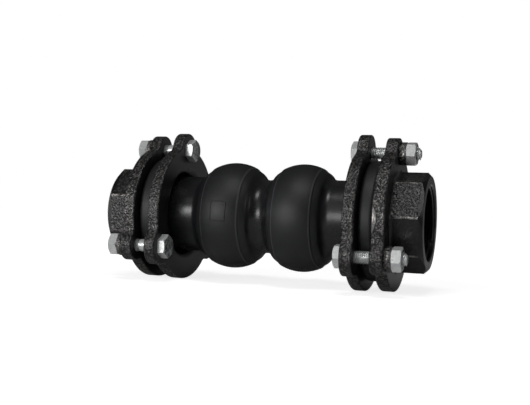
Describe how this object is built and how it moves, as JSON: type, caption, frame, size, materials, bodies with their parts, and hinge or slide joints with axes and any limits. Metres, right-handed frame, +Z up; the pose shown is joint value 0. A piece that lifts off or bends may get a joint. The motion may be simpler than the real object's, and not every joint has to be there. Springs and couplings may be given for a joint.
{
  "type": "threaded rubber expansion joint",
  "caption": "Moulded rubber bellows with spherical bulges, clamped between lugged backing flanges and cast unions with octagonal collars and female pipe threads",
  "frame": {"origin": "on the pipe axis, midway between the two threaded ends", "axes": "X runs along the pipe axis with the right end at +X, Z is up through one lug of each flange, and Y follows from these two"},
  "size_m": [0.268, 0.1242, 0.126],
  "materials": {
    "black_rubber": "moulded black rubber, satin",
    "black_casting": "sand-cast iron with a thin coat of black paint, grainy, brown in places",
    "zinc_steel": "bright zinc plating"
  },
  "bodies": {
    "left_end": {"left_backing_flange": "black_casting", "left_union": "black_casting", "left_bolt_1": "zinc_steel", "left_nut_1": "zinc_steel", "left_bolt_2": "zinc_steel", "left_nut_2": "zinc_steel", "left_bolt_3": "zinc_steel", "left_nut_3": "zinc_steel"},
    "bellows": {"rubber_body": "black_rubber"},
    "right_end": {"right_backing_flange": "black_casting", "right_union": "black_casting", "right_bolt_1": "zinc_steel", "right_nut_1": "zinc_steel", "right_bolt_2": "zinc_steel", "right_nut_2": "zinc_steel", "right_bolt_3": "zinc_steel", "right_nut_3": "zinc_steel"}
  },
  "joints": [
    {"name": "bend", "type": "hinge", "parent": "left_end", "child": "bellows", "pos_m": [-0.0304, 0, 0], "axis": [0, 0, 1], "range_deg": [-20, 20], "stiffness_Nm_per_rad": 60, "deforming": ["rubber_body"]},
    {"name": "stretch", "type": "slide", "parent": "bellows", "child": "right_end", "axis": [1, 0, 0], "range_m": [-0.022, 0.006], "stiffness_N_per_m": 30000, "deforming": ["rubber_body"]}
  ]
}
